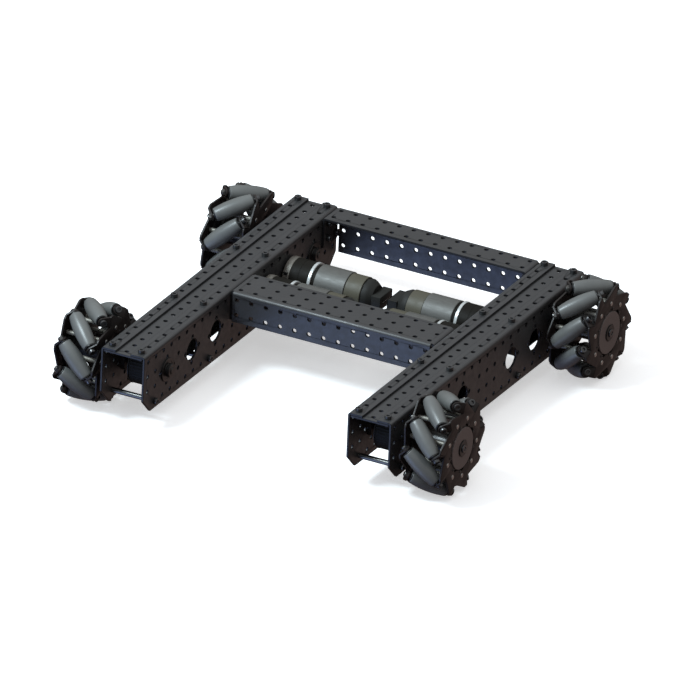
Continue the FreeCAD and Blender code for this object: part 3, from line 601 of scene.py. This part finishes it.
RAIL_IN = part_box("left_rail_inner_plate")[1].x * -1
RAIL_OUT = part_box("left_rail_outer_plate")[0].x * -1
RAIL_MIDDLE = (RAIL_IN + RAIL_OUT) / 2
AXLE_RADIUS = 3.95 * MM
SHAFT_RADIUS = 3.0 * MM
FLANGE_THICK = 1.5 * MM
COLLAR_RADIUS = 7.0 * MM
HUB_CORE = 12.0 * MM
HUB_FLANGE = 26.0 * MM
HUB_DISC = 21.5 * MM
HUB_COLLAR = 8.0 * MM
PULLEY_HALF = 9.0 * MM
PULLEY_RIM = 1.1 * MM
PULLEY_FLANGE = 21.0 * MM
PULLEY_RADIUS = 18.5 * MM
TOOTH_DEPTH = 1.0 * MM
TEETH = 38
SHAFT_IN_MOTOR = 15.5 * MM
SHAFT_TAIL = 1.5 * MM
SHAFT_CUT = 0.5 * MM
EDGE_CUT = 0.3 * MM
GAP = 0.3 * MM
COLLAR_WIDTH = 4 * MM
DRUM_BACK = 6 * MM
DRUM_FILLET = 1.5 * MM
DISC_PROUD = 0.6 * MM
BOSS_PROUD = 1.0 * MM
RING_SCREW_CIRCLE = 24.3 * MM
# Small screw round the hub disc in mm: height above the plate, radius.
RING_SCREW = [(-0.1, 1.5), (0.3, 1.5), (0.5, 1.2), (0.5, 0.7), (0.1, 0.6), (0.1, 0.0)]
# Share of a tooth's pitch and which radius it has, from one root to the next.
TOOTH_SHAPE = ((0.05, "root"), (0.4, "root"), (0.55, "tip"), (0.9, "tip"))


def across(place, sign):
    """Matrix at a spin axis whose X runs outwards, measured from the chassis' middle."""
    turn = Matrix.Identity(4) if sign > 0 else Matrix.Rotation(math.pi, 4, "Z")
    return Matrix.Translation((0, place.y, place.z)) @ turn


def chamfered(low, high, radius, cut, bore=0.0):
    """Closed profile of a ring with both outer edges cut."""
    return [
        (low, bore), (low, radius - cut), (low + cut, radius),
        (high - cut, radius), (high, radius - cut), (high, bore), (low, bore),
    ]


def toothed(work, matrix, low, high, root, tip, count, material):
    """Ring of straight teeth between two stations."""
    ends = []
    for station in (low, high):
        ring = []
        for index in range(count):
            for share, level in TOOTH_SHAPE:
                radius = root if level == "root" else tip
                angle = math.tau * (index + share) / count
                point = Vector((station, radius * math.cos(angle), radius * math.sin(angle)))
                ring.append(work.verts.new(matrix @ point))
        ends.append(ring)
    total = len(ends[0])
    for index in range(total):
        after = (index + 1) % total
        quad = [ends[0][index], ends[0][after], ends[1][after], ends[1][index]]
        work.faces.new(quad).material_index = material


def pulley(work, matrix, bore, material):
    """Toothed drum between two flanges, in the middle of the rail."""
    low = RAIL_MIDDLE - PULLEY_HALF
    high = RAIL_MIDDLE + PULLEY_HALF
    for start, end in ((low, low + PULLEY_RIM), (high - PULLEY_RIM, high)):
        lathe(work, matrix, chamfered(start, end, PULLEY_FLANGE, EDGE_CUT, bore), material, 64)
    root = PULLEY_RADIUS - TOOTH_DEPTH
    toothed(work, matrix, low + PULLEY_RIM, high - PULLEY_RIM, root, PULLEY_RADIUS, TEETH, material)


def axle_parts(work, matrix, spacer_end, disc):
    """Axle, collar with its set screw, axle pulley and spacer."""
    collar_high = RAIL_IN - FLANGE_THICK - GAP
    collar_low = collar_high - COLLAR_WIDTH
    tail = 1 * MM
    shaft = [(collar_low - tail, 0), (collar_low - tail, AXLE_RADIUS - tail),
             (collar_low, AXLE_RADIUS), (disc, AXLE_RADIUS)]
    lathe(work, matrix, shaft, 2, 32)
    lathe(work, matrix, chamfered(collar_low, collar_high, COLLAR_RADIUS, 0.5 * MM, AXLE_RADIUS), 2)
    sunk = 0.9 * MM
    set_screw = Matrix.Translation((collar_low + COLLAR_WIDTH / 2, 0, COLLAR_RADIUS - sunk))
    set_screw = set_screw @ Matrix.Rotation(-math.pi / 2, 4, "Y")
    socket_screw(work, matrix @ set_screw, 1.5 * MM, sunk, 3)
    pulley(work, matrix, AXLE_RADIUS, 2)
    spacer_low = RAIL_OUT + FLANGE_THICK + GAP
    lathe(work, matrix, chamfered(spacer_low, spacer_end, COLLAR_RADIUS, EDGE_CUT, AXLE_RADIUS), 1)


def hub_drum(work, matrix, back, low, high):
    """Drum between the wheel's plates, with a flange against each."""
    lathe(work, matrix, chamfered(back, low, HUB_CORE, 0.6 * MM, AXLE_RADIUS), 2)
    inner_flange = chamfered(low, low + FLANGE_THICK, HUB_FLANGE, EDGE_CUT, AXLE_RADIUS)
    lathe(work, matrix, inner_flange, 2, 64)
    start, end = low + FLANGE_THICK, high - FLANGE_THICK
    core = [(start, HUB_CORE + DRUM_FILLET), (start + DRUM_FILLET, HUB_CORE),
            (end - DRUM_FILLET, HUB_CORE), (end, HUB_CORE + DRUM_FILLET)]
    lathe(work, matrix, core, 2)
    outer_flange = chamfered(end, high, HUB_FLANGE, EDGE_CUT, AXLE_RADIUS)
    lathe(work, matrix, outer_flange, 2, 64)


def hub_face(work, matrix, high, disc):
    """Turned disc on the outside of the wheel, its boss and the centre bolt."""
    dish = 0.5 * MM
    face = [(high, HUB_DISC), (disc - 0.25 * MM, HUB_DISC), (disc, HUB_DISC - EDGE_CUT),
            (disc, HUB_COLLAR + 1.0 * MM), (disc - dish, HUB_COLLAR + 0.6 * MM),
            (disc - dish, HUB_COLLAR - 0.2 * MM)]
    lathe(work, matrix, face, 0, 72)
    boss = [(disc - 0.6 * MM, HUB_COLLAR), (disc + 0.7 * MM, HUB_COLLAR),
            (disc + BOSS_PROUD, HUB_COLLAR - 0.35 * MM), (disc + BOSS_PROUD, 0)]
    lathe(work, matrix, boss, 2)
    bolt = matrix @ Matrix.Translation((disc + BOSS_PROUD, 0, 0))
    socket_screw(work, bolt, 4.2 * MM, 1.4 * MM, 3)


def hub_piece(wheel):
    """Axle with its collar, pulley and spacer, and the hub with its disc and screws."""
    work = bmesh.new()
    matrix = across(wheel.centre, wheel.sign)
    wheel_x = abs(wheel.centre.x)
    low = wheel_x - CAGE_INNER
    high = wheel_x + CAGE_INNER
    plate = high + CAGE_GAUGE
    disc = plate + DISC_PROUD
    axle_parts(work, matrix, low - DRUM_BACK, disc)
    hub_drum(work, matrix, low - DRUM_BACK, low, high)
    hub_face(work, matrix, high, disc)
    turn = matrix @ Matrix.Rotation(wheel.phase * wheel.sign, 4, "X")
    for index in range(ROLLERS):
        spoke = Matrix.Rotation((index + 0.5) * STEP_ANGLE, 4, "X")
        seat = turn @ spoke @ Matrix.Translation((plate, 0, RING_SCREW_CIRCLE))
        lathe(work, seat, millimetres(RING_SCREW), 3, 16)
    to_object(f"{wheel.name}_hub", work, [HUB, BRIGHT, BLACK_METAL, SCREW], wheel.body,
              [f"{wheel.name}_axle_and_hub"])


def motor_pulley_piece(wheel):
    """Motor shaft with its pulley; gives back the motor's place on the rail."""
    place = Vector(joints[f"{wheel.name}_pulley_spin"]["pos_m"])
    matrix = across(place, wheel.sign)
    work = bmesh.new()
    root = RAIL_IN - SHAFT_IN_MOTOR
    tip = RAIL_MIDDLE + PULLEY_HALF + SHAFT_TAIL
    shaft = [(root, 0), (root, SHAFT_RADIUS), (tip - SHAFT_CUT, SHAFT_RADIUS),
             (tip, SHAFT_RADIUS - SHAFT_CUT), (tip, 0)]
    lathe(work, matrix, shaft, 1, 32)
    pulley(work, matrix, SHAFT_RADIUS, 0)
    to_object(f"{wheel.name}_motor_pulley_toothed", work, [BLACK_METAL, BRIGHT],
              f"{wheel.name}_motor_pulley", [f"{wheel.name}_motor_pulley"])
    return place


# ---------------------------------------------------------------- belts and bearings

BELT_INNER = 18.9 * MM
BELT_OUTER = 20.6 * MM
BELT_HALF_WIDTH = 7.5 * MM
BELT_PITCH = 3.0 * MM
RIB_IN = 0.3 * MM
RIB_OUT = 0.25 * MM
BEARING_PLAY = 0.05 * MM
# Bearing outline in mm: station past the rail's face, radius.
BEARING = [
    (-7.0, 10.95), (0.0, 10.95), (0.0, 12.2), (1.2, 12.2), (1.5, 11.9),
    (1.5, 9.4), (1.1, 9.2), (1.1, 6.6), (1.5, 6.4),
]


def belt_piece(wheel, motor):
    """Closed ribbed belt round the axle's and the motor's pulleys."""
    low, high = sorted((wheel.centre.y, motor.y))
    height = wheel.centre.z
    arc = math.pi * BELT_OUTER
    straight = high - low
    length = 2 * (arc + straight)
    count = 4 * round(length / BELT_PITCH)
    work = bmesh.new()
    rings = []
    for index in range(count):
        along = length * index / count
        if along < straight:
            centre, normal = (low + along, height), (0, 1)
        elif along < straight + arc:
            angle = math.pi / 2 - (along - straight) / BELT_OUTER
            centre, normal = (high, height), (math.cos(angle), math.sin(angle))
        elif along < 2 * straight + arc:
            centre, normal = (high - (along - straight - arc), height), (0, -1)
        else:
            angle = -math.pi / 2 - (along - 2 * straight - arc) / BELT_OUTER
            centre, normal = (low, height), (math.cos(angle), math.sin(angle))
        tooth = index % 4 < 2
        inner = BELT_INNER - (RIB_IN if tooth else 0)
        outer = BELT_OUTER - (0 if tooth else RIB_OUT)
        ring = []
        for x, reach in ((-1, inner), (-1, outer), (1, outer), (1, inner)):
            point = Vector((wheel.sign * RAIL_MIDDLE + x * BELT_HALF_WIDTH,
                            centre[0] + reach * normal[0], centre[1] + reach * normal[1]))
            ring.append(work.verts.new(point))
        rings.append(ring)
    for first, second in zip(rings, rings[1:] + rings[:1]):
        for corner in range(4):
            after = (corner + 1) % 4
            work.faces.new([first[corner], first[after], second[after], second[corner]])
    to_object(f"{wheel.name}_belt", work, [BELT], "chassis", ["drive_belts"], 20)


def bearing_piece(wheel):
    """Both flanged bearings of one axle, with races and a recessed shield."""
    work = bmesh.new()
    matrix = across(wheel.centre, wheel.sign)
    bore = AXLE_RADIUS + BEARING_PLAY
    for face, way in ((RAIL_OUT, 1), (RAIL_IN, -1)):
        ring = [(face + way * x * MM, radius * MM) for x, radius in BEARING]
        start, end = (ring[0][0], bore), (ring[-1][0], bore)
        lathe(work, matrix, [start, *ring, end, start], 0, 48)
    to_object(f"{wheel.name}_bearings", work, [BLACK_METAL], "chassis",
              ["axle_bearings"])


# ---------------------------------------------------------------- gearmotors

# Turned parts of a gearmotor, each with its material slot: station past the rail and radius in mm.
MOTOR_PARTS = [
    (3, [(0, 3.05), (0, 15.5), (2.4, 15.5)]),
    (0, [(2.4, 15.0), (2.4, 18.7), (2.7, 19.0), (8.9, 19.0), (9.2, 18.7), (9.2, 17.0)]),
    (3, [(9.0, 18.0), (9.3, 18.5), (18.6, 18.5), (18.8, 18.3), (19.1, 18.3), (19.3, 18.5),
         (29.3, 18.5), (29.6, 18.0)]),
    (2, [(29.4, 17.0), (29.4, 18.7), (29.7, 19.0), (32.3, 19.0), (32.6, 18.7), (32.6, 16.5)]),
    (3, [(32.5, 17.2), (36.5, 17.2)]),
    (1, [(36.3, 16.0), (36.3, 18.0), (36.8, 18.5), (68.6, 18.5), (69.0, 18.1), (69.0, 16.5)]),
    (3, [(68.8, 17.1), (69.5, 17.1)]),
    (4, [(69.4, 16.5), (69.4, 17.4), (69.6, 17.6), (86.3, 17.6), (86.6, 17.3), (86.6, 16.0)]),
    (3, [(86.5, 16.9), (87.2, 16.9)]),
]
ENCODER_CAP = [(86.9, 16.4), (87.1, 16.8), (91.2, 16.8), (94.0, 15.6), (98.0, 12.6), (98.0, 0)]
GEARBOX_BOLT = [(0, 1.3), (0.6, 1.3), (0.9, 1.0), (0.9, 0)]
BOLT_SEAT = (9.2, 16.6)
# Blocks of the connector and the gearbox lugs: slot, low and high corner and edge in mm.
CONNECTOR = [
    (5, (98, -13, -7), (108, 13, 7), 0.5),
    (5, (94, -11, -6), (98.2, 11, 6), 0.4),
]
# Row of pins in the connector, in mm.
PIN_COUNT = 6
PIN_PITCH = 2.6
PIN_HALF = 0.4
LUGS = [(6, (3.6, way * 14.0, 6.0), (7.6, way * 17.6, 10.0), 0.3) for way in (1, -1)]


def motor_piece(wheel, motor):
    """Gearmotor along X: face plate, gearbox, can, banded rear and encoder cap."""
    turn = Matrix.Rotation(math.pi, 4, "Z") if wheel.sign > 0 else Matrix.Identity(4)
    matrix = Matrix.Translation((wheel.sign * RAIL_IN, motor.y, motor.z)) @ turn
    work = bmesh.new()

    def add_block(slot, low, high, edge):
        block(work, matrix, Vector(low) * MM, Vector(high) * MM, slot, edge * MM)

    for slot, outline in MOTOR_PARTS:
        lathe(work, matrix, millimetres(outline), slot, 64)
    lathe(work, matrix, millimetres(ENCODER_CAP), 5, 12)
    for quarter in range(4):
        spoke = matrix @ Matrix.Rotation(math.tau * (quarter + 0.5) / 4, 4, "X")
        seat = spoke @ Matrix.Translation((BOLT_SEAT[0] * MM, 0, BOLT_SEAT[1] * MM))
        lathe(work, seat, millimetres(GEARBOX_BOLT), 6, 14)
    for part in CONNECTOR:
        add_block(*part)
    for column in range(PIN_COUNT):
        y = (column - (PIN_COUNT - 1) / 2) * PIN_PITCH
        add_block(2, (107.6, y - PIN_HALF, -PIN_HALF), (108.0, y + PIN_HALF, PIN_HALF), 0.0)
    for part in LUGS:
        add_block(*part)
    to_object(f"{wheel.name}_gearmotor", work, [FACE, CAN, RING, GEARBOX, BAND, CAP, SCREW], "chassis",
              ["gearmotors"])


for wheel in WHEELS:
    hub_piece(wheel)
    bearing_piece(wheel)
    motor_centre = motor_pulley_piece(wheel)
    belt_piece(wheel, motor_centre)
    motor_piece(wheel, motor_centre)


# ---------------------------------------------------------------- folded sheets and screws

# A face with another face less than this behind it is one side of the sheet; the rest was cut.
SHEET_LIMIT = 3.2 * MM
SHEETS = (
    "left_rail_outer_plate", "left_rail_inner_plate", "right_rail_outer_plate",
    "right_rail_inner_plate", "rail_top_plates", "middle_cross_channel", "rear_cross_angle",
)
RAY_START = 0.01 * MM
SHEET_EDGE = 0.4 * MM
SCREW_EDGE = 0.6 * MM


def dress_sheet(node):
    """Face coat on the sheet's faces and a darker coat on everything that was cut, as painted shade on the
    cut edges and hole walls.
    """
    mesh = nodes[node].data
    mesh.materials.clear()
    mesh.materials.append(FRAME)
    mesh.materials.append(CUT)
    mesh.materials.append(EDGE)
    tree = BVHTree.FromPolygons([vert.co for vert in mesh.vertices],
                                [tuple(face.vertices) for face in mesh.polygons])
    for face in mesh.polygons:
        start = face.center - face.normal * RAY_START
        thickness = tree.ray_cast(start, -face.normal)[3]
        face.material_index = 0 if thickness is not None and thickness < SHEET_LIMIT else 1


def soften_edges(node, width, material=-1):
    """Break the node's sharp edges."""
    piece = nodes[node]
    weld = piece.modifiers.new("weld", "WELD")
    weld.merge_threshold = 1e-6
    bevel = piece.modifiers.new("edges", "BEVEL")
    bevel.width = width
    bevel.segments = 2
    bevel.limit_method = "ANGLE"
    bevel.angle_limit = math.radians(40)
    bevel.use_clamp_overlap = False
    bevel.harden_normals = False
    bevel.material = material


def paint(node, material):
    mesh = nodes[node].data
    mesh.materials.clear()
    mesh.materials.append(material)


# Each sheet's bevel faces take slot 2, the near-black coat: painted shade lines along its edges and hole
# rims.
for sheet in SHEETS:
    dress_sheet(sheet)
    soften_edges(sheet, SHEET_EDGE, 2)
paint("frame_screws", SCREW)
soften_edges("frame_screws", SCREW_EDGE)
paint("rail_standoffs", STEEL)


# ---------------------------------------------------------------- stage, lights, camera

FLOOR_SIZE = 12.0
FLOOR_GAP = 0.2 * MM
FLOOR_DEPTH = 4.0
FLOOR_GLOW = 0.5
SIDE_GLOW = 1.0


def floor_paint(name, glow):
    """Pale matt paint that glows a little, so that the floor reads as white."""
    made = Nodes(name)
    made.set(Base_Color=(0.9, 0.9, 0.9, 1), Roughness=0.9)
    made.set(Emission_Color=(1, 1, 1, 1), Emission_Strength=glow)
    return made.material


def build_floor():
    """Pale slab whose lit top catches the shadows; its sides and bottom are plain white."""
    work = bmesh.new()
    half = FLOOR_SIZE / 2
    top = cad_box[0].z - FLOOR_GAP
    block(work, Matrix.Identity(4), (-half, -half, top - FLOOR_DEPTH), (half, half, top), 1)
    for face in work.faces:
        if face.calc_center_median().z > top - FLOOR_GAP:
            face.material_index = 0
    mesh = bpy.data.meshes.new("floor")
    work.to_mesh(mesh)
    work.free()
    floor = bpy.data.objects.new("floor", mesh)
    bpy.context.scene.collection.objects.link(floor)
    mesh.materials.append(floor_paint("floor_top", FLOOR_GLOW))
    mesh.materials.append(floor_paint("floor_side", SIDE_GLOW))
    floor.visible_glossy = False
    floor.visible_diffuse = False


KEY_PLACE = Vector((-0.98, -1.05, 1.92))
KEY_SIZE = 0.8
KEY_POWER = 54
KEY_COLOUR = (0.82, 0.97, 1.04)


def build_key():
    """Soft cool lamp from the front left and above."""
    data = bpy.data.lights.new("key", "AREA")
    data.shape = "DISK"
    data.size = KEY_SIZE
    data.energy = KEY_POWER
    data.color = KEY_COLOUR
    lamp = bpy.data.objects.new("key", data)
    bpy.context.scene.collection.objects.link(lamp)
    lamp.location = KEY_PLACE
    lamp.rotation_euler = (-KEY_PLACE).to_track_quat("-Z", "Y").to_euler()


# Studio dome: the heights between which it brightens, its radiance below and overhead, and
# broad glows as (direction, narrowness, radiance).
HORIZON = (-0.15, 0.95)
BELOW = (0.10, 0.072, 0.064)
OVERHEAD = (0.75, 0.76, 0.77)
GLOWS = [
    ((-0.41, -0.80, -0.44), 16.0, (1.10, 1.54, 2.76)),
    ((0.41, 0.80, -0.44), 6.0, (0.20, 0.15, 0.14)),
    ((-0.35, -0.70, 0.62), 6.0, (0.30, 0.45, 0.60)),
]


def build_world():
    """Studio dome: cool from the front, faintly warm from behind, brown below, pale overhead."""
    world = bpy.data.worlds.new("studio")
    bpy.context.scene.world = world
    world.use_nodes = True
    tree = world.node_tree

    def add(kind, **settings):
        node = tree.nodes.new(kind)
        for name, value in settings.items():
            setattr(node, name, value)
        return node

    coords = add("ShaderNodeTexCoord").outputs["Generated"]
    split = add("ShaderNodeSeparateXYZ")
    tree.links.new(coords, split.inputs[0])
    height = add("ShaderNodeMapRange", interpolation_type="SMOOTHSTEP")
    tree.links.new(split.outputs["Z"], height.inputs["Value"])
    height.inputs["From Min"].default_value = HORIZON[0]
    height.inputs["From Max"].default_value = HORIZON[1]
    dome = add("ShaderNodeMix", data_type="VECTOR")
    tree.links.new(height.outputs["Result"], dome.inputs[0])
    vectors = [socket for socket in dome.inputs if socket.type == "VECTOR" and socket.enabled]
    vectors[-2].default_value = BELOW
    vectors[-1].default_value = OVERHEAD
    total = next(socket for socket in dome.outputs if socket.type == "VECTOR")
    for direction, power, colour in GLOWS:
        facing = add("ShaderNodeVectorMath", operation="DOT_PRODUCT")
        tree.links.new(coords, facing.inputs[0])
        facing.inputs[1].default_value = direction
        clipped = add("ShaderNodeMath", operation="MAXIMUM")
        tree.links.new(facing.outputs["Value"], clipped.inputs[0])
        clipped.inputs[1].default_value = 0.0
        lobe = add("ShaderNodeMath", operation="POWER")
        tree.links.new(clipped.outputs["Value"], lobe.inputs[0])
        lobe.inputs[1].default_value = power
        glow = add("ShaderNodeVectorMath", operation="SCALE")
        glow.inputs[0].default_value = colour
        tree.links.new(lobe.outputs["Value"], glow.inputs["Scale"])
        summed = add("ShaderNodeVectorMath", operation="ADD")
        tree.links.new(total, summed.inputs[0])
        tree.links.new(glow.outputs["Vector"], summed.inputs[1])
        total = summed.outputs["Vector"]
    tree.links.new(total, tree.nodes["Background"].inputs["Color"])


# Orthographic view from the front right and above, with a slight roll.
VIEW_RIGHT = Vector((0.8819, 0.4699, 0.0374))
VIEW_UP = Vector((-0.2353, 0.3700, 0.8987))
VIEW_BACK = Vector((0.4085, -0.8014, 0.4369))
VIEW_TARGET = Vector((0.0097, -0.0003, 0.0404))
VIEW_WIDTH = 0.6811
VIEW_DISTANCE = 2.0


def build_camera():
    data = bpy.data.cameras.new("camera")
    data.type = "ORTHO"
    data.ortho_scale = VIEW_WIDTH
    data.clip_end = 10 * VIEW_DISTANCE
    camera = bpy.data.objects.new("camera", data)
    bpy.context.scene.collection.objects.link(camera)
    turn = Matrix((VIEW_RIGHT, VIEW_UP, VIEW_BACK)).transposed().to_4x4()
    camera.matrix_world = Matrix.Translation(VIEW_TARGET + VIEW_BACK * VIEW_DISTANCE) @ turn
    bpy.context.scene.camera = camera


build_floor()
build_world()
build_key()
build_camera()
bpy.context.scene.view_settings.view_transform = "Standard"
